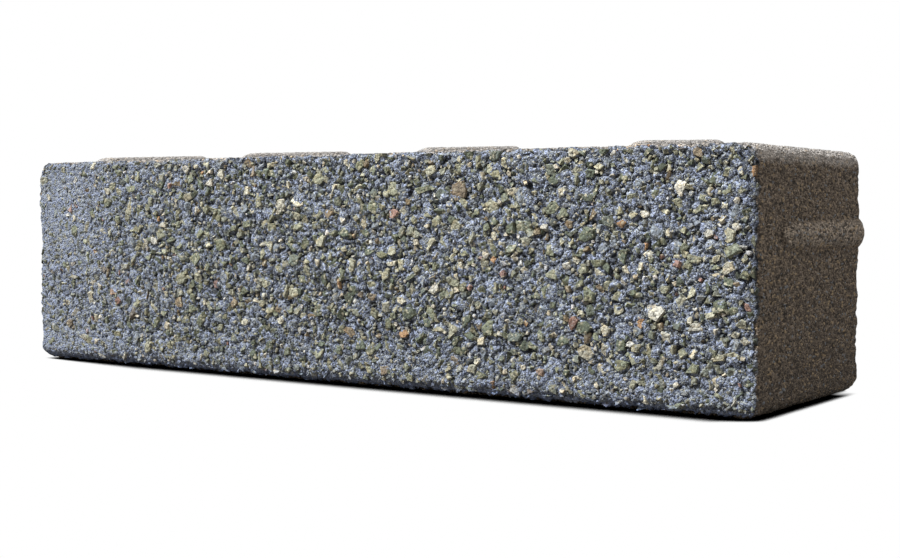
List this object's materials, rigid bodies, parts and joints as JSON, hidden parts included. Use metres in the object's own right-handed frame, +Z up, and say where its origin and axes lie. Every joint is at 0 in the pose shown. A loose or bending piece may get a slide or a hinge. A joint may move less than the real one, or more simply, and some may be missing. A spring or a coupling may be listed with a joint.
{
  "type": "concrete paver",
  "caption": "Long narrow concrete paving stone with rounded corners, an exposed-aggregate face and tapered spacer ribs on one long side and one end.",
  "frame": {"origin": "middle of the whole stone's footprint, on the floor, with the stone standing on its plain long side", "axes": "+X along the length towards the ribbed end, -Y out of the walked-on face, +Y out of the bedding face, +Z up towards the ribbed long side"},
  "size_m": [0.3, 0.08, 0.0812],
  "materials": {
    "concrete": "rough cast concrete, exposed aggregate on the walked-on face"
  },
  "bodies": {
    "root": {"paver": "concrete"}
  },
  "joints": []
}
